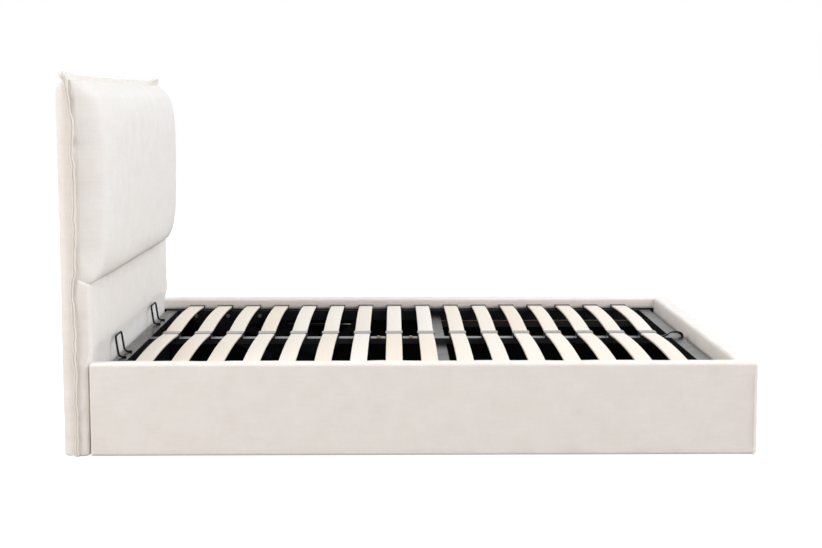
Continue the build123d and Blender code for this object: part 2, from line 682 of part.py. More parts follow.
# Sprung slats: sixteen rows of two bowed slats, in a cap at the side and a double holder in the middle
slat_thickness = 8
slat_bow = 12
slat_lift = 9
slat_end_gap = 5
slat_middle_gap = 8
cap_wall = 3
cap_length = 25
cap_height = 20
holder_reach = 28
slat_outer_y = tube_outer_y - slat_end_gap
slat_bottom = tube_top + slat_lift
caps_x = [(x - cap_wall, x + slat_width + cap_wall) for x in slat_places]
half_slats = []
for name, side in SIDES:
    with BuildPart() as slats:
        ends = (side * slat_middle_gap, side * slat_outer_y)
        middle = sum(ends) / 2
        for x in slat_places:
            with BuildSketch(Plane.YZ.offset(x)) as bowed:
                with BuildLine():
                    under = ThreePointArc((ends[0], slat_bottom), (middle, slat_bottom + slat_bow),
                                          (ends[1], slat_bottom))
                    top = slat_bottom + slat_thickness
                    over = ThreePointArc((ends[0], top), (middle, top + slat_bow), (ends[1], top))
                    Line(under @ 0, over @ 0)
                    Line(under @ 1, over @ 1)
                make_face()
            extrude(bowed.sketch, amount=slat_width)
    keep(slats.part, f"slats_{name}")
    half_slats.append(slats.part)
    with BuildPart() as slat_caps:
        for x0, x1 in caps_x:
            block(x0, x1, *sorted((side * tube_outer_y, side * (tube_outer_y - cap_length))),
                  tube_top, tube_top + cap_height)
        add(slats.part, mode=Mode.SUBTRACT)
    keep(slat_caps.part, f"slat_caps_{name}")
with BuildPart() as slat_holders:
    for x0, x1 in caps_x:
        block(x0, x1, -holder_reach, holder_reach, tube_top, tube_top + cap_height)
    for slats_part in half_slats:
        add(slats_part, mode=Mode.SUBTRACT)
keep(slat_holders.part, "slat_holders")

# Mattress retainers: two bent steel rods on the head bar
retainer_rod = 3.5
retainer_centre = 380
retainer_width = 112
retainer_top = 325
retainer_foot = 25
retainer_lean = 10
retainer_bend = 14
retainer_start = 27
retainer_base_x = head_x + retainer_start
retainer_foot_x = retainer_base_x + retainer_foot
retainer_top_x = retainer_base_x - retainer_lean
for name, side in SIDES:
    near_y = side * (retainer_centre - retainer_width / 2)
    far_y = side * (retainer_centre + retainer_width / 2)
    foot_z = tube_top + retainer_rod
    with BuildPart() as mattress_retainer:
        with BuildLine() as bend:
            FilletPolyline((retainer_foot_x, near_y, foot_z), (retainer_base_x, near_y, foot_z),
                           (retainer_top_x, near_y, retainer_top - retainer_rod),
                           (retainer_top_x, far_y, retainer_top - retainer_rod),
                           (retainer_base_x, far_y, foot_z), (retainer_foot_x, far_y, foot_z),
                           radius=retainer_bend)
        with BuildSketch(Plane(origin=bend.line @ 0, z_dir=bend.line % 0)) as rod:
            Circle(retainer_rod)
        sweep(rod.sketch, bend.line)
    keep(mattress_retainer.part, f"mattress_retainer_{name}")

# Pull strap: webbing that arches over the middle of the foot bar, with room for the hand below it
strap_width = 30
strap_thickness = 2
strap_tail = 40
strap_inner_reach = 22
strap_rise = 18
strap_drop = 32
strap_bend = 9
strap_line_z = tube_top + strap_thickness / 2
strap_line_x = frame_foot_x + strap_thickness / 2
strap_apex = strap_line_z + strap_rise
strap_shoulder = frame_foot_x - foot_bar_width
with BuildPart() as pull_strap:
    with BuildSketch(Plane.XZ.offset(-strap_width / 2)) as webbing:
        with BuildLine():
            FilletPolyline((strap_shoulder - strap_tail, strap_line_z),
                           (strap_shoulder - strap_inner_reach, strap_line_z),
                           (strap_shoulder, strap_apex), (strap_line_x, strap_apex),
                           (strap_line_x, tube_top - strap_drop), radius=strap_bend)
        trace(line_width=strap_thickness)
    extrude(webbing.sketch, amount=strap_width)
keep(pull_strap.part, "pull_strap")
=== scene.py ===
import bmesh
import bpy
import numpy as np
from math import pi
from mathutils import Matrix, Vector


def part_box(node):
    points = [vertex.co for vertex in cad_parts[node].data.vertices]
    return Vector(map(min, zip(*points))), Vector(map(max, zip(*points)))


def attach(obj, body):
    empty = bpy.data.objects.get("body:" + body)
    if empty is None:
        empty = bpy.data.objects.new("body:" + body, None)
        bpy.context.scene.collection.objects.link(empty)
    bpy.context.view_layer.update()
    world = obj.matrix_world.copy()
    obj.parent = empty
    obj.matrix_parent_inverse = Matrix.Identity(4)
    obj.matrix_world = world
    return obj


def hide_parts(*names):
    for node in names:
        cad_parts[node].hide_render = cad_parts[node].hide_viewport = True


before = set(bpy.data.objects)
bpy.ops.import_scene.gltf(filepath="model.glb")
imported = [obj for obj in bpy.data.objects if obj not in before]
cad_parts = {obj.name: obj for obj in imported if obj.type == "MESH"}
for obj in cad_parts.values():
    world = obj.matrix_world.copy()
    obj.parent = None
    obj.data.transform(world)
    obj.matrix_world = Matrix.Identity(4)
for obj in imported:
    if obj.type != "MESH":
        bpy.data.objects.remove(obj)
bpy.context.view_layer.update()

# Headboard back board: the hidden panel of raw board behind the padding, which the rails are bolted to.
# It is plain furniture board, seen only where nothing covers it.


def put(tree, kind, sockets=(), **settings):
    """Add a shader node; sockets pairs an input with a value or with an output to link to it."""
    made = tree.nodes.new(kind)
    for key, value in settings.items():
        setattr(made, key, value)
    for key, value in dict(sockets).items():
        if isinstance(value, bpy.types.NodeSocket):
            tree.links.new(value, made.inputs[key])
        else:
            made.inputs[key].default_value = value
    return made


def adjust(material, **constants):
    """Set constant sockets of a material's Principled surface, and give that surface."""
    surface = material.node_tree.nodes["Principled BSDF"]
    for key, value in constants.items():
        surface.inputs[key.replace("_", " ")].default_value = value
    return surface


def finish_named(name, **constants):
    """New material with a Principled surface, whose constant sockets are set directly."""
    material = bpy.data.materials.new(name)
    material.use_nodes = True
    return material, material.node_tree, adjust(material, **constants)


def effect(name, inputs, outputs):
    """New node group for a shared effect, with its named inputs and outputs."""
    group = bpy.data.node_groups.new(name, "ShaderNodeTree")
    for direction, sockets in (("INPUT", inputs), ("OUTPUT", outputs)):
        for label, kind in sockets:
            group.interface.new_socket(label, in_out=direction, socket_type=kind)
    return group, group.nodes.new("NodeGroupInput").outputs, group.nodes.new("NodeGroupOutput").inputs


def blend_colours(tree, share, low, high):
    """Mix of two colours by a share from 0 to 1."""
    mixed = put(tree, "ShaderNodeMix", {0: share, 6: low, 7: high}, data_type="RGBA")
    return mixed.outputs[2]


def maths(tree, operation, first, second=0.0, third=0.0, clamp=False):
    """One step of arithmetic on two or three values."""
    sockets = {0: first, 1: second, 2: third}
    return put(tree, "ShaderNodeMath", sockets, operation=operation, use_clamp=clamp).outputs[0]


def on_object(tree):
    """Place on the piece, in metres."""
    return put(tree, "ShaderNodeTexCoord").outputs["Object"]


def noise(tree, place_on, scale, detail, **more):
    """Noise from 0 to 1 at a place."""
    sockets = {0: place_on, "Scale": scale, "Detail": detail, **more}
    return put(tree, "ShaderNodeTexNoise", sockets).outputs[0]


def emboss(tree, surface, height, strength, depth):
    """Fine relief of a surface from a height."""
    bump = put(tree, "ShaderNodeBump", {"Strength": strength, "Distance": depth, "Height": height})
    tree.links.new(bump.outputs[0], surface.inputs["Normal"])


def dress(material, *nodes):
    """Give the objects of some CAD nodes this material."""
    for name in nodes:
        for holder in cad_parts[name].material_slots:
            holder.material = material


grain_group, grain_in, grain_out = effect(
    "wood grain", (("Vector", "NodeSocketVector"), ("Fineness", "NodeSocketFloat")),
    (("Figure", "NodeSocketFloat"), ("Pores", "NodeSocketFloat")))
fine = put(grain_group, "ShaderNodeVectorMath", {0: grain_in["Vector"], 3: grain_in["Fineness"]},
           operation="SCALE").outputs[0]
grain_group.links.new(noise(grain_group, fine, 1.0, 4.0, Distortion=0.6), grain_out["Figure"])
grain_group.links.new(noise(grain_group, fine, 7.0, 2.0), grain_out["Pores"])


def grain_of(tree, stretch, fineness):
    """Outputs of the wood grain at a place whose axes are scaled by stretch."""
    drawn = put(tree, "ShaderNodeMapping", {0: on_object(tree), "Scale": stretch})
    sockets = {"Vector": drawn.outputs[0], "Fineness": fineness}
    return put(tree, "ShaderNodeGroup", sockets, node_tree=grain_group).outputs


def timber(name, light, dark, lengthwise):
    """Wood whose grain is the noise of the place, squeezed along the direction of the fibres."""
    material, tree, surface = finish_named(name, Roughness=0.6)
    grain = grain_of(tree, [0.05 if axis == lengthwise else 1.0 for axis in "xyz"], fineness=34.0)
    share = maths(tree, "MULTIPLY_ADD", grain["Figure"], 2.4, -0.7, clamp=True)
    tree.links.new(blend_colours(tree, share, light, dark), surface.inputs["Base Color"])
    emboss(tree, surface, grain["Pores"], strength=0.4, depth=0.0004)
    return material


board = timber("furniture board", (0.62, 0.47, 0.31, 1), (0.42, 0.30, 0.18, 1), "y")
dress(board, "headboard_frame")

# Headboard upholstery: a padded rear half, a plain lower pad and a thick upper bolster, all in off-white
# linen-look cloth over foam. Each is stapled to the back board and sewn to the flange that runs between.


def edge_spaced(low, high, fine, coarse, band):
    """Places from low to high, fine apart within a band at each end and coarse apart between."""
    rise = np.arange(0, band, fine)
    middle = np.linspace(low + band, high - band, max(2, round((high - low - 2 * band) / coarse)))
    return np.concatenate((low + rise, middle, high - rise[::-1]))


def outward(mesh, merge_under=0.0):
    """Merge points nearer than a distance, and turn a closed mesh's faces outwards, which makes its signed
    volume positive."""
    work = bmesh.new()
    work.from_mesh(mesh)
    if merge_under:
        bmesh.ops.remove_doubles(work, verts=work.verts, dist=merge_under)
    bmesh.ops.recalc_face_normals(work, faces=work.faces)
    if work.calc_volume(signed=True) < 0:
        bmesh.ops.reverse_faces(work, faces=work.faces)
    work.to_mesh(mesh)
    work.free()
    mesh.shade_smooth()
    return mesh


def mesh_from(name, vertices, faces, cloth):
    """Closed mesh of merged points and faces, with a UV map in metres of cloth."""
    mesh = bpy.data.meshes.new(name)
    mesh.from_pydata(vertices.tolist(), [], faces)
    mesh.uv_layers.new(name="cloth").data.foreach_set("uv", np.asarray(cloth, np.float32).ravel())
    return outward(mesh, merge_under=2e-5)


def grid_faces(rows, columns, wrap=False):
    """Quads of a grid of points, row by row; wrap joins the last column to the first."""
    index = np.arange(rows * columns).reshape(rows, columns)
    if wrap:
        index = np.concatenate((index, index[:, :1]), 1)
    return np.stack((index[:-1, :-1], index[:-1, 1:], index[1:, 1:], index[1:, :-1]), -1).reshape(-1, 4)


def corners_of(values):
    """A value held at the points of a grid, taken to the four corners of its quads."""
    quads = np.stack((values[:-1, :-1], values[:-1, 1:], values[1:, 1:], values[1:, :-1]), 2)
    return quads.reshape(-1, *values.shape[2:])


def show(name, data):
    """New object in the scene that holds a mesh, a lamp or a camera."""
    holder = bpy.data.objects.new(name, data)
    bpy.context.scene.collection.objects.link(holder)
    return holder


def place(mesh, material, body):
    """Object for a finished mesh, with its material, riding on a body."""
    piece = show(mesh.name, mesh)
    mesh.materials.append(material)
    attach(piece, body)
    return piece


def step(value, low, high):
    """Smooth rise from 0 below low to 1 above high."""
    share = np.clip((value - low) / (high - low), 0, 1)
    return share * share * (3 - 2 * share)


def quarter(distance, radius, depth):
    """Share of a depth at a distance from an edge rounded to a quarter circle of that radius."""
    inside = np.clip(distance / radius, 0, 1)
    return 1 - radius / depth * (1 - np.sqrt(1 - (1 - inside) ** 2))


weave_group, weave_in, weave_out = effect(
    "linen weave", (("Vector", "NodeSocketVector"), ("Threads", "NodeSocketFloat")),
    (("Height", "NodeSocketFloat"), ("Slub", "NodeSocketFloat"), ("Mottle", "NodeSocketFloat"),
     ("Tone", "NodeSocketFloat")))


def streaks(stretch, detail):
    """Noise in the weave, drawn out along the axis that stretch scales least."""
    drawn = put(weave_group, "ShaderNodeMapping", {0: weave_in["Vector"], "Scale": stretch})
    return noise(weave_group, drawn.outputs[0], 1.0, detail)


turns = maths(weave_group, "MULTIPLY", weave_in["Threads"], pi)
phase = put(weave_group, "ShaderNodeVectorMath", {0: weave_in["Vector"], 3: turns}, operation="SCALE")
wave = put(weave_group, "ShaderNodeVectorMath", {0: phase.outputs[0]}, operation="SINE")
crest = put(weave_group, "ShaderNodeVectorMath", {0: wave.outputs[0]}, operation="ABSOLUTE")
signed = put(weave_group, "ShaderNodeSeparateXYZ", {0: wave.outputs[0]}).outputs
round_thread = put(weave_group, "ShaderNodeSeparateXYZ", {0: crest.outputs[0]}).outputs
over_under = maths(weave_group, "MULTIPLY", signed[0], signed[1])
crossing = maths(weave_group, "MULTIPLY", round_thread[0], round_thread[1])
plain_weave = maths(weave_group, "ADD", crossing, maths(weave_group, "MULTIPLY_ADD", over_under, 0.35, 0.5))
slub = maths(weave_group, "MAXIMUM", streaks((30.0, 520.0, 1.0), 2.0), streaks((520.0, 30.0, 1.0), 2.0))
woven = maths(weave_group, "ADD", plain_weave, maths(weave_group, "MULTIPLY", slub, 0.8))
clouds = noise(weave_group, weave_in["Vector"], 13.0, 6.0, Roughness=0.66)
mottle = maths(weave_group, "MULTIPLY", clouds, 0.62)
for stretch, part in (((13.0, 210.0, 1.0), 0.26), ((210.0, 13.0, 1.0), 0.12)):
    mottle = maths(weave_group, "MULTIPLY_ADD", streaks(stretch, 3.0), part, mottle)
tone = noise(weave_group, weave_in["Vector"], 5.0, 2.0)
for label, value in (("Height", woven), ("Slub", slub), ("Mottle", mottle), ("Tone", tone)):
    weave_group.links.new(value, weave_out[label])


def cloth_finish(name, light, dark, warm, threads, relief, sheen=0.0, mapped=True, shine=0.1):
    """Woven cloth: a plain weave in relief, with slubs and a mottle that turn its light colour to a dark
    one, which drifts to a warm one from place to place."""
    material, tree, surface = finish_named(name, Roughness=0.92, Sheen_Weight=sheen, Sheen_Roughness=0.5,
                                           Specular_IOR_Level=shine)
    place_on = put(tree, "ShaderNodeUVMap", uv_map="cloth").outputs[0] if mapped else on_object(tree)
    weave = put(tree, "ShaderNodeGroup", {"Vector": place_on, "Threads": threads},
                node_tree=weave_group).outputs
    spread = maths(tree, "MULTIPLY_ADD", weave["Slub"], 0.5, -0.2)
    patches = maths(tree, "MULTIPLY_ADD", weave["Mottle"], 1.8, -0.72)
    share = maths(tree, "ADD", spread, patches, clamp=True)
    drift = maths(tree, "MULTIPLY_ADD", weave["Tone"], 3.0, -1.0, clamp=True)
    colour = blend_colours(tree, share, light, blend_colours(tree, drift, dark, warm))
    tree.links.new(colour, surface.inputs["Base Color"])
    emboss(tree, surface, weave["Height"], strength=0.55, depth=relief)
    return material


linen = cloth_finish("off-white linen", (0.87, 0.84, 0.805, 1), (0.77, 0.71, 0.675, 1),
                     (0.77, 0.725, 0.66, 1), threads=620.0, relief=0.0005, sheen=0.06)

headboard_low, headboard_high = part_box("headboard_back_pad")
lower_low, lower_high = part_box("headboard_lower_pad")
pillow_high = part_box("headboard_pillow")[1]
seam_x = lower_low.x
half_width = headboard_high.y + 0.001
base_z = 0.0012
sway_heights = (0.0, 0.18, 0.40, 0.478, 0.525, 0.572, 0.634, 0.68, 0.803, 0.865, 0.926, 1.048, 1.093, 1.138,
                1.2)
sway_depths = (0.002, 0.001, 0.001, -0.001, -0.004, 0.003, 0.009, 0.008, 0.011, 0.011, 0.008, 0.008, 0.003,
               -0.005, -0.007)
sway_reach = 0.14
slow_ripple, quick_ripple = 0.0012, 0.0008


def seam_sway(y, z):
    """How far the sewn edge strays from its plane: the measured line plus a slow and a quick sine of the
    height, rising smoothly from nothing over the last reach towards the ends."""
    ripple = slow_ripple * np.sin(z * 41 + y * 3) + quick_ripple * np.sin(z * 97 + 1.3)
    stray = np.interp(z, sway_heights, sway_depths) + ripple
    return stray * step(np.abs(y), half_width - sway_reach, half_width)


def through(value, places, depths):
    """Smooth curve through measured depths: a cubic between each two, whose slope at each is the harmonic
    mean of the slopes beside it, so that it never swings past them."""
    places, depths = np.array(places), np.array(depths)
    rises = np.diff(depths) / np.diff(places)
    product = rises[:-1] * rises[1:]
    inner = np.where(product > 0, 2 * product / np.where(product > 0, rises[:-1] + rises[1:], 1), 0)
    slopes = np.concatenate((rises[:1], inner, rises[-1:]))
    value = np.clip(value, places[0], places[-1])
    run = np.clip(np.searchsorted(places, value, side="right") - 1, 0, len(places) - 2)
    span = places[run + 1] - places[run]
    t = (value - places[run]) / span
    return ((2 * t ** 3 - 3 * t ** 2 + 1) * depths[run] + (t ** 3 - 2 * t ** 2 + t) * span * slopes[run]
            + (3 * t ** 2 - 2 * t ** 3) * depths[run + 1] + (t ** 3 - t ** 2) * span * slopes[run + 1])


wall_rows = 6
pad_edge_cell, pad_edge_band = 0.004, 0.06
pucker_reach = 0.03
draw_in_most, draw_in_reach, draw_in_share_up = 0.005, 0.006, 0.4


def pad(name, low, high, side, face, cell, puckers):
    """Closed pad on one side of the seam plane, with a flat back on it. Its face stands off by face(distance
    from the pad's end, height), its walls drop to the plane and draw in as they near it, and small puckers
    along its edges, each the sum of two bent sines, die away inwards as an exponential."""
    y = edge_spaced(-half_width, half_width, pad_edge_cell, cell, pad_edge_band)
    z = edge_spaced(low, high, pad_edge_cell, cell, pad_edge_band)
    rise = (np.arange(wall_rows) / wall_rows) ** 1.6
    wall_y = np.concatenate((rise, np.ones(len(y)), rise[::-1]))[None, :]
    wall_z = np.concatenate((rise, np.ones(len(z)), rise[::-1]))[:, None]
    Y, Z = np.meshgrid(np.pad(y, wall_rows, mode="edge"), np.pad(z, wall_rows, mode="edge"))
    from_end = half_width - np.abs(Y)
    wall = np.minimum(wall_y, wall_z)
    stand = side * face(from_end, Z)
    from_edge = np.minimum(from_end, np.minimum(Z - low, high - Z))
    waves = np.sin(Y * 73 + np.sin(Z * 31)) + np.sin(Z * 83 + np.sin(Y * 29))
    gather = puckers * np.exp(-from_edge / pucker_reach) * waves
    sway = seam_sway(Y, Z)
    X = seam_x + sway * (1 - wall) + (stand + side * gather) * wall
    up = np.where(Z > (low + high) / 2, 1, -1)
    U = Y + np.sign(Y) * np.abs(stand) * (1 - wall_y)
    V = Z + up * np.abs(stand) * (1 - wall_z)
    draw_in = draw_in_most * np.exp(-np.abs(stand) * wall / draw_in_reach)
    deep_y = Y - np.sign(Y) * draw_in * (wall_y < 1)
    deep_z = Z - up * draw_in * draw_in_share_up * (wall_z < 1)
    front = np.stack((X, deep_y, deep_z), -1)
    back = np.stack((seam_x + sway, np.clip(deep_y, deep_y[:, :1].max(), deep_y[:, -1:].min()),
                     np.clip(deep_z, deep_z[:1].max(), deep_z[-1:].min())), -1)
    rim = np.zeros(Y.shape, bool)
    rim[0] = rim[-1] = rim[:, 0] = rim[:, -1] = True
    back[rim] = front[rim]
    faces = grid_faces(*Y.shape)
    uv = corners_of(np.stack((U, V), -1)).reshape(-1, 2)
    both = np.concatenate((front.reshape(-1, 3), back.reshape(-1, 3)))
    closed = np.concatenate((faces, faces[:, ::-1] + Y.size)).tolist()
    return mesh_from(name, both, closed, np.concatenate((uv, uv)))


settle_frames = 20
held_within = 0.001
cloth_ease = 0.006


def plump(piece, most, pressure=4.0):
    """Settle a closed pad in a cloth simulation, with its rim on the seam plane held. Air fills it, or where
    the pressure is below 0, draws its cover in. Then keep each point's movement up to a limit and take the
    simulation off."""
    rest = np.empty(len(piece.data.vertices) * 3)
    piece.data.vertices.foreach_get("co", rest)
    rest = rest.reshape(-1, 3)
    near_seam = np.abs(rest[:, 0] - seam_x - seam_sway(rest[:, 1], rest[:, 2])) < held_within
    held = piece.vertex_groups.new(name="held")
    held.add(np.nonzero(near_seam)[0].tolist(), 1.0, "REPLACE")
    cloth = piece.modifiers.new("cloth", "CLOTH")
    cloth.settings.vertex_group_mass = "held"
    cloth.settings.use_pressure = True
    cloth.settings.uniform_pressure_force = pressure
    cloth.settings.effector_weights.gravity = 0
    cloth.settings.quality = 5
    cloth.settings.shrink_min = -cloth_ease
    cloth.point_cache.frame_start = 1
    cloth.point_cache.frame_end = settle_frames
    scene = bpy.context.scene
    for number in range(1, settle_frames + 1):
        scene.frame_set(number)
    swollen = piece.evaluated_get(bpy.context.evaluated_depsgraph_get()).data
    moved = np.empty(len(swollen.vertices) * 3)
    swollen.vertices.foreach_get("co", moved)
    shift = moved.reshape(-1, 3) - rest
    length = np.linalg.norm(shift, axis=1, keepdims=True)
    shift *= np.minimum(1, most / np.maximum(length, 1e-9))
    piece.modifiers.remove(cloth)
    piece.vertex_groups.clear()
    scene.frame_set(1)
    piece.data.vertices.foreach_set("co", (rest + shift).ravel())
    piece.data.update()


back_depth = seam_x - headboard_low.x + 0.001
back_side_round, back_top_round, hem_round = 0.024, 0.037, 0.005


def back_face(inset, z):
    """Flat back with quarter-round sides, a larger round at its top and a small one at its hem."""
    return (back_depth * quarter(inset, back_side_round, back_depth)
            * quarter(headboard_high.z - z, back_top_round, back_depth)
            * quarter(z - base_z, hem_round, back_depth))


rear_half = place(pad("headboard_rear_half", base_z, headboard_high.z, -1, back_face, cell=0.02,
                      puckers=0.0006), linen, "base")
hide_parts("headboard_back_pad")
plump(rear_half, most=0.002)

lower_depth = lower_high.x - seam_x
bolster_low = lower_high.z + 0.010
panel_high = bolster_low + 0.018
panel_side_round = 0.020
rail_high_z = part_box("side_rail_cover_left")[1].z
above_rails = 0.05
behind_from, behind_to = bolster_low + 0.004, bolster_low + 0.016
stand_out_share, tucked_share = 0.20, 0.5


def panel_face(inset, z):
    """Flat panel with rounded ends, which stands out a little above the rails and goes up, thinner, behind
    the bolster. Both changes are smooth rises with the height."""
    above = step(z, rail_high_z, rail_high_z + above_rails)
    behind = step(z, behind_from, behind_to)
    return (lower_depth * quarter(inset, panel_side_round, lower_depth)
            * quarter(z - base_z, hem_round, lower_depth)
            * (1 + stand_out_share * above - tucked_share * behind))


lower_pad = place(pad("headboard_lower_panel", base_z, panel_high, 1, panel_face, cell=0.018,
                      puckers=0.0004), linen, "base")
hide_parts("headboard_lower_pad")
plump(lower_pad, most=0.002, pressure=-4.0)

pillow_depth = pillow_high.x - seam_x + 0.010
pillow_tall = pillow_high.z - bolster_low
end_insets = (0.0, 0.002, 0.008, 0.018, 0.030, 0.045, 0.065, 0.09, 0.13, 0.2, 0.9)
end_shares = (0.10, 0.19, 0.37, 0.57, 0.73, 0.855, 0.935, 0.97, 0.99, 1.0, 1.0)
height_shares = (0.0, 0.004, 0.018, 0.042, 0.081, 0.13, 0.19, 0.27, 0.39, 0.55, 0.647, 0.787, 0.869, 0.92,
                 0.966, 0.99, 1.0)
crown_upper_shares = (1.0, 1.0, 0.967, 0.89, 0.80, 0.58, 0.42, 0.34)
fuller_from, fuller_to = 0.10, 0.34
end_crown_shares = (0.38, 0.48, 0.60, 0.71, 0.82, 0.895, 0.94, 0.97, 0.99) + crown_upper_shares
middle_crown_shares = (0.42, 0.53, 0.66, 0.81, 0.89, 0.935, 0.96, 0.98, 0.995) + crown_upper_shares
square_foot, square_foot_round, square_foot_share = 0.10, 0.022, 0.8


def bolster_face(inset, z):
    """Crowned bolster: a curve through shares of its depth by height, fuller below between its ends than at
    them, times a curve that draws it in at its ends, less so at the foot where it meets the panel."""
    height = (z - bolster_low) / pillow_tall
    between = step(inset, fuller_from, fuller_to)
    crown = (through(height, height_shares, end_crown_shares) * (1 - between)
             + through(height, height_shares, middle_crown_shares) * between)
    square = square_foot_share * (1 - step(z, bolster_low, bolster_low + square_foot))
    ends = (through(inset, end_insets, end_shares) * (1 - square)
            + quarter(inset, square_foot_round, lower_depth) * square)
    return pillow_depth * crown * ends


pillow = place(pad("headboard_bolster", bolster_low, pillow_high.z, 1, bolster_face, cell=0.015,
                   puckers=0.0009), linen, "base")
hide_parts("headboard_pillow")
plump(pillow, most=0.004, pressure=-4.0)

# Headboard flange: the two layers of cloth sewn together that stand out round the headboard's edge.
# They are topstitched along their length and pinched up into an ear at each top corner.


def carried(path, outward_way, aside_way, section, widths, thicknesses):
    """Points of a section carried along a path: each row is its path point plus the section's two
    coordinates, times the row's width and thickness, along the row's outward and aside directions."""
    out = section[None, :, :1] * widths[:, None, None] * outward_way[:, None, :]
    off = section[None, :, 1:] * thicknesses[:, None, None] * aside_way[:, None, :]
    return path[:, None, :] + out + off


def capped_tube(name, points, cloth):
    """Closed mesh round a grid of points: its columns wrap, and each end is closed by one face."""
    rows, columns = points.shape[:2]
    faces = grid_faces(rows, columns, wrap=True).tolist()
    ends = [list(range(columns))[::-1], list(range((rows - 1) * columns, rows * columns))]
    uv = np.concatenate((corners_of(cloth).reshape(-1, 2), cloth[0, :columns][::-1], cloth[-1, :columns]))
    return mesh_from(name, points.reshape(-1, 3), faces + ends, uv)


def arc_cloth(points):
    """UV in metres for a wrapped grid: distance along the rows' first points and round each section."""
    closed = np.concatenate((points, points[:, :1]), 1)
    steps_along = np.linalg.norm(np.diff(points[:, 0], axis=0), axis=1)
    steps_round = np.linalg.norm(np.diff(closed, axis=1), axis=2)
    along = np.concatenate(([0], np.cumsum(steps_along)))
    round_it = np.concatenate((np.zeros((len(points), 1)), np.cumsum(steps_round, 1)), 1)
    return np.stack((np.repeat(along[:, None], closed.shape[1], 1), round_it), -1)


edging = cloth_finish("folded linen edging", (0.88, 0.85, 0.805, 1), (0.77, 0.70, 0.64, 1),
                      (0.77, 0.71, 0.63, 1), threads=620.0, relief=0.0005, sheen=0.06)
flange_out = 0.0105
flange_half = 0.0055
flange_section = np.array(((-1.2, -0.75), (-0.3, -0.8), (0.4, -0.95), (0.8, -1.0), (1.0, -0.7),
                           (0.96, -0.25), (0.5, 0.0), (0.96, 0.25), (1.0, 0.7), (0.8, 1.0), (0.4, 0.95),
                           (-0.3, 0.8), (-1.2, 0.75)))
flange_step = 0.006
corner_run = 0.03
side_z = np.arange(base_z, headboard_high.z - corner_run, flange_step)
top_y = np.arange(corner_run - half_width, half_width - corner_run, flange_step)
turn = np.linspace(0, 1, 22)[1:-1]
corner_y = corner_run * step(turn, 0.45, 1.0) - half_width
corner_z = headboard_high.z - corner_run * (1 - step(turn, 0.0, 0.55))
near_path = np.stack((np.concatenate((np.full(len(side_z), -half_width), corner_y)),
                      np.concatenate((side_z, corner_z))), -1)
far_path = near_path[::-1] * (-1, 1)
top_path = np.stack((top_y, np.full(len(top_y), headboard_high.z)), -1)
flange_path = np.concatenate((near_path, top_path, far_path))

# The ear is an exponential of the distance to the corner, long on the top and short on the side. It thickens
# the flange, lifts its outer part, and turns it back at the near corner and forward at the far one. A bell
# curve of the same distance leans the flange upwards.
ear_on_top, ear_on_side = 0.055, 0.019
top_band = 0.012
lean_reach, lean_up = 0.03, 1.3
to_corner = np.minimum(np.linalg.norm(flange_path - (-half_width, headboard_high.z), axis=1),
                       np.linalg.norm(flange_path - (half_width, headboard_high.z), axis=1))
on_top = flange_path[:, 1] > headboard_high.z - top_band
ear = np.exp(-(to_corner / np.where(on_top, ear_on_top, ear_on_side)) ** 1.5)
toward = np.gradient(flange_path, axis=0)
toward /= np.linalg.norm(toward, axis=1, keepdims=True)
lean = np.exp(-(to_corner / lean_reach) ** 2)[:, None] * (0.0, lean_up)
flat_out = np.stack((-toward[:, 1], toward[:, 0]), -1) + lean
flat_out /= np.linalg.norm(flat_out, axis=1, keepdims=True)
flange_outward = np.concatenate((np.zeros((len(flat_out), 1)), flat_out), 1)
flange_aside = np.tile((1.0, 0.0, 0.0), (len(flat_out), 1))
run = np.cumsum(np.linalg.norm(np.diff(flange_path, axis=0, prepend=flange_path[:1]), axis=1))
flange_ripple = 0.0010 * np.sin(run * 57) + 0.0007 * np.sin(run * 131 + 2)
flange_x = seam_x + seam_sway(flange_path[:, 0], flange_path[:, 1]) + flange_ripple
flange_widths = flange_out * (0.76 + 0.07 * np.sin(run * 45))
flange_thicknesses = flange_half * (1 + 0.75 * ear)
flange_points = carried(np.column_stack((flange_x, flange_path)), flange_outward, flange_aside,
                        flange_section, flange_widths, flange_thicknesses)
out_share = np.clip((flange_section[None, :, 0] + 0.4) / 0.9, 0, 1)
top_lift, ear_lift, ear_back, ear_forward = 0.004, 0.012, 0.009, 0.022
lift = out_share * (top_lift * on_top + ear_lift * ear)[:, None]
flange_points += lift[..., None] * flange_outward[:, None, :]
flange_points[..., 0] += out_share * (ear * np.where(flange_path[:, 0] < 0, -ear_back, ear_forward))[:, None]
flange = place(capped_tube("headboard_sewn_flange", flange_points, arc_cloth(flange_points)), edging, "base")
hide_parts("headboard_flange")

# Side and foot rails: timber cores, each wrapped in a soft layer and the same linen, which turns in over
# the top edge and is stapled behind the black lining.
dress(board, "side_rail_core_left", "side_rail_core_right", "foot_rail_core")


def arc(centre, radius, start, end, count):
    """Points on an arc between two angles in degrees."""
    angle = np.radians(np.linspace(start, end, count))
    return np.stack((centre[0] + radius * np.cos(angle), centre[1] + radius * np.sin(angle)), -1)


def divided(corners, longest):
    """Points along straight runs, none longer than a limit."""
    runs = []
    for start, end in zip(corners[:-1], corners[1:]):
        count = max(1, int(np.ceil(np.linalg.norm(np.subtract(end, start)) / longest)))
        share = np.linspace(0, 1, count, endpoint=False)[:, None]
        runs.append(np.array(start) * (1 - share) + np.array(end) * share)
    return np.concatenate(runs)


rail_low, rail_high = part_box("side_rail_cover_left")
thick = rail_high.y - rail_low.y
tuck = 0.0055
rail_bottom = base_z
rail_top = rail_high.z + 0.003
inner_bend, outer_bend, under_bend = 0.012, 0.011, 0.008
past_inner, past_outer, past_under, past_tuck = 0.004, 0.007, 0.004, 0.006
fold = 0.001
rail_run, under_run = 0.012, 0.016
rail_tip_cell, rail_cell, rail_tip_band = 0.002, 0.016, 0.014


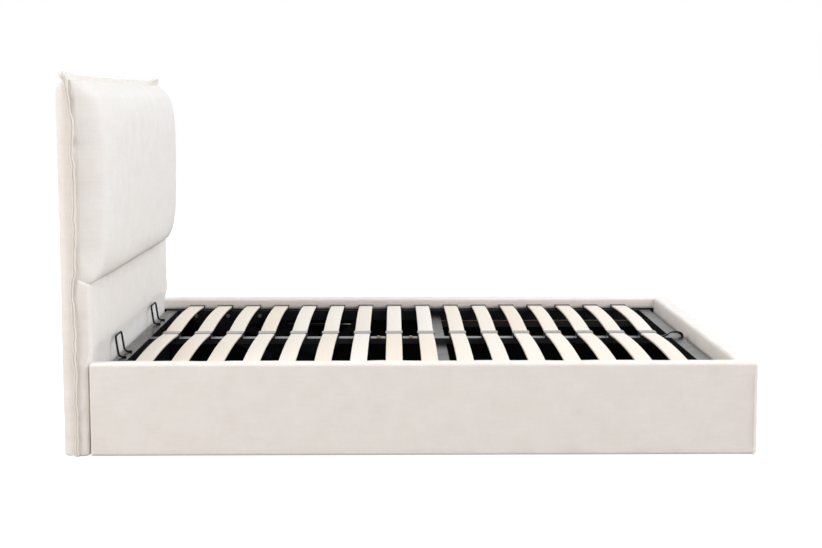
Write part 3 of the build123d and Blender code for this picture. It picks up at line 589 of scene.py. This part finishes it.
def rail_section(lining_top):
    """Outline of a rail as depth from its inner face and height: tucked in behind the lining, straight up,
    and rounded over a flat top, down the outer face and under."""
    inside = ((tuck, rail_bottom), (tuck, lining_top - fold), (0.0, lining_top + fold),
              (0.0, rail_top - inner_bend))
    over = ((inner_bend + past_inner, rail_top), (thick - outer_bend, rail_top))
    outside = ((thick, rail_top - outer_bend - past_outer), (thick, rail_bottom + under_bend + past_under))
    under = ((thick - under_bend - past_tuck, rail_bottom), (tuck + past_tuck, rail_bottom))
    return np.concatenate((
        divided(inside, rail_run),
        arc((inner_bend, rail_top - inner_bend), inner_bend, 180, 90, 8),
        divided(over, rail_run),
        arc((thick - outer_bend, rail_top - outer_bend), outer_bend, 90, 0, 8),
        divided(outside, rail_run),
        arc((thick - under_bend, rail_bottom + under_bend), under_bend, 0, -90, 6),
        divided(under, under_run)))


swell_height = 0.0007
pulled_in = 0.0008
stapled_depth, free_depth, free_height, tip_depth = 0.001, 0.012, 0.03, 0.004


def padded_rail(section, along, tips, seed):
    """Points of a rail: its section at each place along it. The cloth swells by a sum of slow waves, and
    near each tip the section shrinks as a rounded end of that radius."""
    tangent = np.roll(section, -1, 0) - np.roll(section, 1, 0)
    outward_way = np.stack((-tangent[:, 1], tangent[:, 0]), -1)
    outward_way /= np.linalg.norm(outward_way, axis=1, keepdims=True)
    depth, height = section[:, 0], section[:, 1]
    free = step(depth, stapled_depth, free_depth) * step(height, rail_bottom, rail_bottom + free_height)
    A = along[:, None]
    swell = swell_height * (np.sin(A * 17 + height * 9 + seed) * np.sin(height * 23 + seed * 2)
                            + 0.6 * np.sin(A * 39 - height * 31 + seed * 3)
                            + 0.35 * np.sin(A * 83 + height * 47 + seed * 5))
    shrink = np.zeros(len(along))
    for tip, radius in ((along[0], tips[0]), (along[-1], tips[1])):
        inside = np.clip(1 - np.abs(along - tip) / radius, 0, 1)
        shrink = np.maximum(shrink, radius * (1 - np.sqrt(1 - inside ** 2)))
    offset = (swell - pulled_in) * free - shrink[:, None] * step(depth, tuck, tuck + tip_depth)
    return section[None] + offset[:, :, None] * outward_way[None]


def rail_mesh(name, lining, low, high, tips, seed, lay):
    """Mesh of a rail from low to high, with lay turning place, depth and height into X, Y and Z."""
    along = edge_spaced(low, high, rail_tip_cell, rail_cell, rail_tip_band)
    moved = padded_rail(rail_section(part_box(lining)[1].z), along, tips, seed)
    grid = np.stack(lay(np.repeat(along[:, None], moved.shape[1], 1), moved[..., 0], moved[..., 1]), -1)
    return capped_tube(name, grid, arc_cloth(grid))


head_tip, foot_tip, corner_tip = 0.004, 0.010, 0.002
for name, side, seed in (("left", -1, 0.4), ("right", 1, 2.9)):
    cover_low, cover_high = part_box(f"side_rail_cover_{name}")
    inner = cover_high.y if side < 0 else cover_low.y
    cover = place(rail_mesh(f"side_rail_upholstery_{name}", f"rail_lining_{name}", cover_low.x, cover_high.x,
                            (head_tip, foot_tip), seed, lambda a, d, h: (a, inner + side * d, h)),
                  linen, "base")
    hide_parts(f"side_rail_cover_{name}")
foot_low, foot_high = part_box("foot_rail_cover")
foot_cover = place(rail_mesh("foot_rail_upholstery", "foot_lining", foot_low.y, foot_high.y,
                             (corner_tip, corner_tip), 5.1, lambda a, d, h: (foot_low.x + d, a, h)),
                   linen, "base")
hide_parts("foot_rail_cover")

# Corner welts: piping in the same linen, sewn in up the side rails near the foot corners, round a thin
# filler cord, with a stitch every few millimetres.
welt_low, welt_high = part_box("corner_welts")
welt_x = (welt_low.x + welt_high.x) / 2
welt_radius = 0.0025
welt_stitch, welt_step = 0.006, 0.0016
welt_z = np.arange(base_z, welt_high.z, welt_step)
welt_turn = np.linspace(0, 2 * pi, 12, endpoint=False)
welt_swell = 1 + 0.07 * np.sin(welt_z[:, None] * 2 * pi / welt_stitch + welt_turn)
for name, y in (("left", welt_low.y + welt_radius), ("right", welt_high.y - welt_radius)):
    grid = np.stack((welt_x + welt_radius * welt_swell * np.cos(welt_turn),
                     y + welt_radius * welt_swell * np.sin(welt_turn),
                     np.repeat(welt_z[:, None], len(welt_turn), 1)), -1)
    welt = place(capped_tube(f"corner_piping_{name}", grid, arc_cloth(grid)), linen, "base")
    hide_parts("corner_welts")

# Floor glides, slat caps, holders and tube plugs: moulded black plastic, pushed or screwed on. The holders
# between the slats are glossier.


def hard_finish(name, light, dark, patches, roughened=None, grit=None, **constants):
    """Hard surface stained in patches, a noise of that scale and detail. Where roughened is given, the noise
    times its first value plus its second is the roughness. Where grit is given, a second noise of its scale
    and detail is a relief of its strength and depth."""
    material, tree, surface = finish_named(name, **constants)
    place_on = on_object(tree)
    stain = noise(tree, place_on, *patches)
    tree.links.new(blend_colours(tree, stain, light, dark), surface.inputs["Base Color"])
    if roughened:
        tree.links.new(maths(tree, "MULTIPLY_ADD", stain, *roughened), surface.inputs["Roughness"])
    if grit:
        scale, detail, strength, depth = grit
        emboss(tree, surface, noise(tree, place_on, scale, detail), strength, depth)
    return material


def glossier(material, name, **constants):
    """Copy of a finish under its own name, with other constants."""
    copied = material.copy()
    copied.name = name
    adjust(copied, **constants)
    return copied


plastic = hard_finish("black moulded plastic", (0.010, 0.011, 0.013, 1), (0.022, 0.023, 0.026, 1),
                      (60.0, 3.0), roughened=(0.25, 0.22), grit=(1400.0, 1.0, 0.25, 0.0002),
                      Roughness=0.33, Specular_IOR_Level=0.5)
dress(plastic, "floor_glides", "slat_caps_left", "slat_caps_right", "tube_plugs")
dress(glossier(plastic, "glossy black plastic", Specular_IOR_Level=1.0, Coat_Weight=0.6), "slat_holders")

# Steel parts: black tubes, plates, arms and struts, welded or bolted together. The bars, the cross tube and
# the struts' cylinders are powder-coated, and the rest is painted matt.
coated = hard_finish("black powder coat", (0.008, 0.009, 0.012, 1), (0.022, 0.024, 0.028, 1), (9.0, 5.0),
                     roughened=(0.3, 0.16), grit=(700.0, 2.0, 0.2, 0.0003), Roughness=0.3,
                     Specular_IOR_Level=0.22, Coat_Weight=0.15, Coat_Roughness=0.2)
dress(coated, "cross_tube", "gas_cylinder_left", "gas_cylinder_right")
dress(glossier(coated, "glossy powder coat", Specular_IOR_Level=0.6), "head_bar", "foot_bar", "centre_bar")
matt = hard_finish("matt black steel", (0.004, 0.005, 0.007, 1), (0.013, 0.014, 0.018, 1), (30.0, 5.0),
                   grit=(30.0, 5.0, 0.2, 0.0002), Roughness=0.55, Specular_IOR_Level=0.14)
dress(matt, "foot_brackets", "head_brackets", "bracket_bolts", "base_pivot_bolts", "strut_anchor_studs",
      "lift_base_bolts")
for side in ("left", "right"):
    dress(matt, f"side_tube_{side}", f"lift_base_{side}", f"rear_arm_{side}", f"front_arm_{side}",
          f"lift_bracket_{side}", f"front_arm_studs_{side}", f"mattress_retainer_{side}")

# Bare metal: yellow zinc on the bolts of the arms' top pivots, dulled zinc on those of the platform's
# brackets, and bright chromed steel for the struts' rods.


def metal(name, light, dark, roughness):
    """Bare metal, stained in small patches and slightly rough."""
    return hard_finish(name, light, dark, (140.0, 4.0), roughened=(roughness, roughness * 0.5),
                       Metallic=1.0, Roughness=roughness)


zinc = metal("yellow zinc", (0.72, 0.60, 0.36, 1), (0.52, 0.42, 0.26, 1), 0.36)
chrome = metal("bright rod", (0.80, 0.80, 0.81, 1), (0.66, 0.67, 0.69, 1), 0.16)
dull = metal("dulled zinc", (0.40, 0.38, 0.34, 1), (0.26, 0.24, 0.21, 1), 0.42)
dress(zinc, "top_pivot_bolts")
dress(dull, "lift_bracket_bolts")
dress(chrome, "gas_rod_left", "gas_rod_right")

# Centre bar bolts: two small hexagon heads on round washers, yellow zinc-plated, screwed down into the top of
# the centre bar.


def crisp(piece, angle):
    """Keep the edges of a smooth piece crisp where they turn by more than an angle."""
    piece.modifiers.new("crisp", "EDGE_SPLIT").split_angle = angle


bolt_sunk, washer_high, head_high, head_bevel = 0.0005, 0.0014, 0.0050, 0.0006
washer_radius, head_radius = 0.0085, 0.0060
bolt_turn = np.linspace(0, 2 * pi, 12, endpoint=False)
circle = np.ones(len(bolt_turn))
hexagon = 1 / np.cos((bolt_turn + pi / 6) % (pi / 3) - pi / 6)
bolt_levels = ((-bolt_sunk, washer_radius, circle), (washer_high, washer_radius, circle),
               (washer_high, head_radius, hexagon), (head_high - head_bevel, head_radius, hexagon),
               (head_high, head_radius - head_bevel, circle))
centre_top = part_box("centre_bar")[1].z
bolt_places = (("head", -0.109), ("foot", 0.008))
for name, x in bolt_places:
    grid = np.stack([np.stack((x + radius * outline * np.cos(bolt_turn),
                               radius * outline * np.sin(bolt_turn), centre_top + rise * circle), -1)
                     for rise, radius, outline in bolt_levels])
    bolt = place(capped_tube(f"centre_bar_bolt_{name}", grid, arc_cloth(grid)), zinc, "platform")
    crisp(bolt, 0.4)

# Storage box: pine rest battens, black below their top few millimetres, with their wood darkened as painted
# shade, and pine bearers, both screwed to the rails, black boards for the floor and the head end, and black
# non-woven lining stapled inside the rails.
# The battens' wood colours are darker than the bearers' as painted shade. A blend by height turns them black
# below their top few millimetres.
pine = timber("planed pine with painted shade", (0.50, 0.38, 0.26, 1), (0.36, 0.25, 0.16, 1), "x")
tree = pine.node_tree
colour_socket = adjust(pine).inputs["Base Color"]
height_on = put(tree, "ShaderNodeSeparateXYZ", {0: on_object(tree)}).outputs[2]
wood_top_reach, black_edge = 0.003, 0.0015
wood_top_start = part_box("rest_batten_left")[1].z - wood_top_reach
wood_top_mask = put(tree, "ShaderNodeMapRange", {0: height_on, 1: wood_top_start - black_edge, 2: wood_top_start})
wood = colour_socket.links[0].from_socket
tree.links.new(blend_colours(tree, wood_top_mask.outputs[0], (0.006, 0.006, 0.008, 1), wood), colour_socket)
dress(pine, "rest_batten_left", "rest_batten_right")
bearer_pine = timber("bearer pine", (0.60, 0.46, 0.32, 1), (0.46, 0.33, 0.21, 1), "y")
dress(bearer_pine, "floor_bearers")
black_board = cloth_finish("black faced board", (0.005, 0.006, 0.010, 1), (0.010, 0.012, 0.018, 1),
                           (0.012, 0.012, 0.014, 1), threads=500.0, relief=0.0001, mapped=False,
                           shine=0.08)
dress(black_board, "floor_panel_head", "floor_panel_foot", "head_panel")
lining = cloth_finish("black lining felt", (0.004, 0.0045, 0.006, 1), (0.010, 0.0105, 0.013, 1),
                      (0.011, 0.010, 0.010, 1), threads=700.0, relief=0.0003, mapped=False, shine=0.05)
dress(lining, "rail_lining_left", "rail_lining_right", "foot_lining")

# Sprung slats: birch plywood strips, bowed upwards, two to a row. Each differs a little in tint, and its
# sawn edges show the plies.
birch, tree, surface = finish_named("birch slats", Roughness=0.42, Coat_Weight=0.12, Coat_Roughness=0.3)
grain = grain_of(tree, (1.0, 0.04, 1.0), fineness=55.0)
tint = put(tree, "ShaderNodeAttribute", attribute_name="tint").outputs["Fac"]
ply = put(tree, "ShaderNodeAttribute", attribute_name="ply").outputs["Fac"]
ply_count = 5
base_tone = blend_colours(tree, tint, (0.845, 0.80, 0.735, 1), (0.795, 0.70, 0.58, 1))
figure_share = maths(tree, "MULTIPLY", grain["Figure"], 0.3)
figured = blend_colours(tree, figure_share, base_tone, (0.72, 0.60, 0.46, 1))
ply_wave = maths(tree, "SINE", maths(tree, "MULTIPLY", ply, 2 * pi * ply_count))
layers = maths(tree, "MULTIPLY", ply_wave, 0.45, clamp=True)
tree.links.new(blend_colours(tree, layers, figured, (0.36, 0.23, 0.12, 1)), surface.inputs["Base Color"])
emboss(tree, surface, grain["Pores"], strength=0.3, depth=0.0002)

random = np.random.default_rng(7)
slat_count = 16
slat_thickness = 0.008
slat_width = 0.055
slat_bow = 0.012
slat_round = 0.0025
slat_rows = 25
half, width = slat_thickness / 2, slat_width / 2
round_centres = [(across * (width - slat_round), up * (half - slat_round))
                 for across, up in ((1, 1), (-1, 1), (-1, -1), (1, -1))]
profile = np.concatenate([arc(centre, slat_round, 90 * number, 90 * number + 90, 4)
                          for number, centre in enumerate(round_centres)])
ring = np.arange(len(profile))
for name in ("left", "right"):
    # Each slat is its rounded profile carried across the bed, raised by a parabola of the place across.
    slats_low, slats_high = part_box(f"slats_{name}")
    pitch = (slats_high.x - slats_low.x - slat_width) / (slat_count - 1)
    y = np.linspace(slats_low.y, slats_high.y, slat_rows)
    middle = (y[0] + y[-1]) / 2
    bowed = slats_low.z + half + slat_bow * (1 - ((y - middle) / (y[-1] - middle)) ** 2)
    vertices, faces, tints = [], [], []
    for number in range(slat_count):
        centre = slats_low.x + width + pitch * number
        X, Y = np.meshgrid(centre + profile[:, 0], y)
        vertices.append(np.stack((X, Y, bowed[:, None] + profile[None, :, 1]), -1).reshape(-1, 3))
        start = number * X.size
        faces += (start + grid_faces(slat_rows, len(ring), wrap=True)).tolist()
        faces += [(start + ring[::-1]).tolist(), (start + X.size - len(ring) + ring).tolist()]
        tints.append(np.full(X.size, random.random()))
    mesh = bpy.data.meshes.new(f"birch_slats_{name}")
    mesh.from_pydata(np.concatenate(vertices).tolist(), [], faces)
    plies = np.tile((profile[:, 1] + half) / slat_thickness, slat_rows * slat_count)
    for label, values in (("tint", np.concatenate(tints)), ("ply", plies)):
        mesh.attributes.new(label, "FLOAT", "POINT").data.foreach_set("value", values)
    slats = place(outward(mesh), birch, "platform")
    crisp(slats, 0.9)
    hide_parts(f"slats_{name}")

# Pull strap: a band of black webbing folded over the foot bar and bolted down, with a loop for the hand.
# It is rolled a little where it leaves the bar, so that its face shows.
webbing, tree, surface = finish_named("black webbing", Roughness=0.5, Specular_IOR_Level=0.12)
strap_uv = put(tree, "ShaderNodeUVMap", uv_map="cloth").outputs[0]
ribs = put(tree, "ShaderNodeTexWave", {0: strap_uv, "Scale": 110.0, "Distortion": 0.3}, bands_direction="Y")
twill = put(tree, "ShaderNodeTexWave", {0: strap_uv, "Scale": 150.0, "Distortion": 0.2},
            bands_direction="DIAGONAL")
ribbed = maths(tree, "ADD", ribs.outputs[1], twill.outputs[1])
tree.links.new(blend_colours(tree, maths(tree, "MULTIPLY", ribbed, 0.5), (0.002, 0.002, 0.003, 1),
                             (0.010, 0.010, 0.012, 1)), surface.inputs["Base Color"])
emboss(tree, surface, ribbed, strength=0.6, depth=0.0005)
strap_low, strap_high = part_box("pull_strap")
bar_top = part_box("foot_bar")[1].z
bar_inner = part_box("foot_bar")[0].x
web = 0.0036
route = np.array(((strap_low.x, bar_top + web / 2), (bar_inner - 0.026, bar_top + web / 2),
                  (bar_inner - 0.008, bar_top + 0.010), (bar_inner + 0.004, strap_high.z - web / 2),
                  (strap_high.x - 0.012, strap_high.z - web), (strap_high.x - web / 2, strap_high.z - 0.014),
                  (strap_high.x - web / 2, bar_top - 0.010), (strap_high.x - web / 2, strap_low.z)))
strap_rows = 70
bend_reach = 0.009
roll_most, roll_rise = 0.24, 0.014
across_bed = (0.0, 1.0, 0.0)


def flowing(corners, count):
    """Smooth line near straight runs: each point is the mean of the runs about it, over a short window."""
    length = np.concatenate(([0], np.cumsum(np.linalg.norm(np.diff(corners, axis=0), axis=1))))
    at = np.linspace(0, length[-1], count)
    window = np.linspace(-bend_reach, bend_reach, 9)
    narrowed = np.minimum(1, np.minimum(at, length[-1] - at) / bend_reach)
    near = np.clip(at[:, None] + window[None] * narrowed[:, None], 0, length[-1])
    return np.stack([np.interp(near, length, corners[:, axis]).mean(1) for axis in (0, 1)], -1)


strap_line = flowing(route, strap_rows)
strap_step = np.gradient(strap_line, axis=0)
strap_step /= np.linalg.norm(strap_step, axis=1, keepdims=True)
strap_path = np.stack((strap_line[:, 0], np.zeros(strap_rows), strap_line[:, 1]), -1)
strap_roll = roll_most * step(strap_line[:, 1], bar_top, bar_top + roll_rise)[:, None]
strap_face = np.stack((-strap_step[:, 1], np.zeros(strap_rows), strap_step[:, 0]), -1)
strap_out = np.cos(strap_roll) * across_bed - np.sin(strap_roll) * strap_face
strap_aside = np.cos(strap_roll) * strap_face + np.sin(strap_roll) * across_bed
strap_half = (strap_high.y - strap_low.y) / 2
strap_section = np.concatenate((divided(((-0.96, -1.0), (0.96, -1.0)), 0.2), ((0.96, -1.0), (1.0, 0.0)),
                                divided(((0.96, 1.0), (-0.96, 1.0)), 0.2), ((-0.96, 1.0), (-1.0, 0.0))))
strap_points = carried(strap_path, strap_out, strap_aside, strap_section, np.full(strap_rows, strap_half),
                       np.full(strap_rows, web / 2))
strap = place(capped_tube("webbing_pull_strap", strap_points, arc_cloth(strap_points)), webbing, "platform")
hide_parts("pull_strap")

# Studio: a pale floor, the photograph's camera, and plain soft light from above and in front.
floor_mesh = bpy.data.meshes.new("studio_floor")
floor_mesh.from_pydata([(-30, -30, 0), (30, -30, 0), (30, 30, 0), (-30, 30, 0)], [], [(0, 1, 2, 3)])
floor = show("studio_floor", floor_mesh)
floor_finish, tree, surface = finish_named("studio floor", Roughness=0.9, Specular_IOR_Level=0.0)
floor_mesh.materials.append(floor_finish)
seen = put(tree, "ShaderNodeLightPath").outputs
looked_at = maths(tree, "MAXIMUM", seen["Is Camera Ray"], seen["Is Glossy Ray"])
tree.links.new(blend_colours(tree, looked_at, (0.45, 0.45, 0.45, 1), (0.26, 0.26, 0.26, 1)),
               surface.inputs["Base Color"])
surface.inputs["Emission Color"].default_value = (1, 1, 1, 1)
tree.links.new(maths(tree, "MULTIPLY", looked_at, 0.86), surface.inputs["Emission Strength"])

world = bpy.data.worlds.new("studio")
bpy.context.scene.world = world
world.use_nodes = True
tree = world.node_tree
backdrop = tree.nodes["Background"]
seen = put(tree, "ShaderNodeLightPath").outputs
mirrored_or_through = maths(tree, "MAXIMUM", seen["Is Glossy Ray"], seen["Is Transmission Ray"])
shown = maths(tree, "MAXIMUM", seen["Is Camera Ray"], mirrored_or_through)
light_strength, shown_more = 0.585, 0.415
tree.links.new(maths(tree, "MULTIPLY_ADD", shown, shown_more, light_strength), backdrop.inputs["Strength"])
backdrop.inputs["Color"].default_value = (1, 1, 1, 1)


def lamp(name, place_at, aim, size, power, colour=(1, 1, 1)):
    """Square area lamp that looks from a place towards another."""
    light = bpy.data.lights.new(name, "AREA")
    light.size = size
    light.energy = power
    light.color = colour
    holder = show(name, light)
    direction = np.subtract(aim, place_at)
    holder.location = place_at
    holder.rotation_euler = (np.arctan2(np.hypot(direction[0], direction[1]), -direction[2]), 0,
                             np.arctan2(direction[1], direction[0]) - pi / 2)
    return holder


lamp("key", (6.8, -0.9, 6.8), (-1.0, 0, 0.6), size=5.5, power=615, colour=(0.87, 0.935, 1.0))
lamp("head side", (-5.5, -3.2, 3.6), (0, 0, 0.4), size=3.0, power=215, colour=(1.0, 0.95, 0.92))
lamp("front", (6.0, -13.0, 4.0), (0, -0.8, 0.3), size=6.0, power=370, colour=(1.0, 0.82, 0.72))
lamp("far side", (-3.0, 9.0, 1.8), (0, 0.8, 0.3), size=4.0, power=180).visible_glossy = False

camera_data = bpy.data.cameras.new("photograph")
camera_data.sensor_width = 36
camera_data.lens = 67.04
camera = show("photograph", camera_data)
camera_at = (-0.05479, -5.52381, 1.10606)
camera_yaw, camera_pitch, camera_roll = -0.0115618, -0.1128202, 0.00035673
aimed = (Matrix.Rotation(camera_yaw, 4, "Z") @ Matrix.Rotation(camera_pitch, 4, "X")
         @ Matrix.Rotation(camera_roll, 4, "Y") @ Matrix.Rotation(pi / 2, 4, "X"))
camera.matrix_world = Matrix.Translation(camera_at) @ aimed
bpy.context.scene.camera = camera
bpy.context.scene.view_settings.view_transform = "Standard"
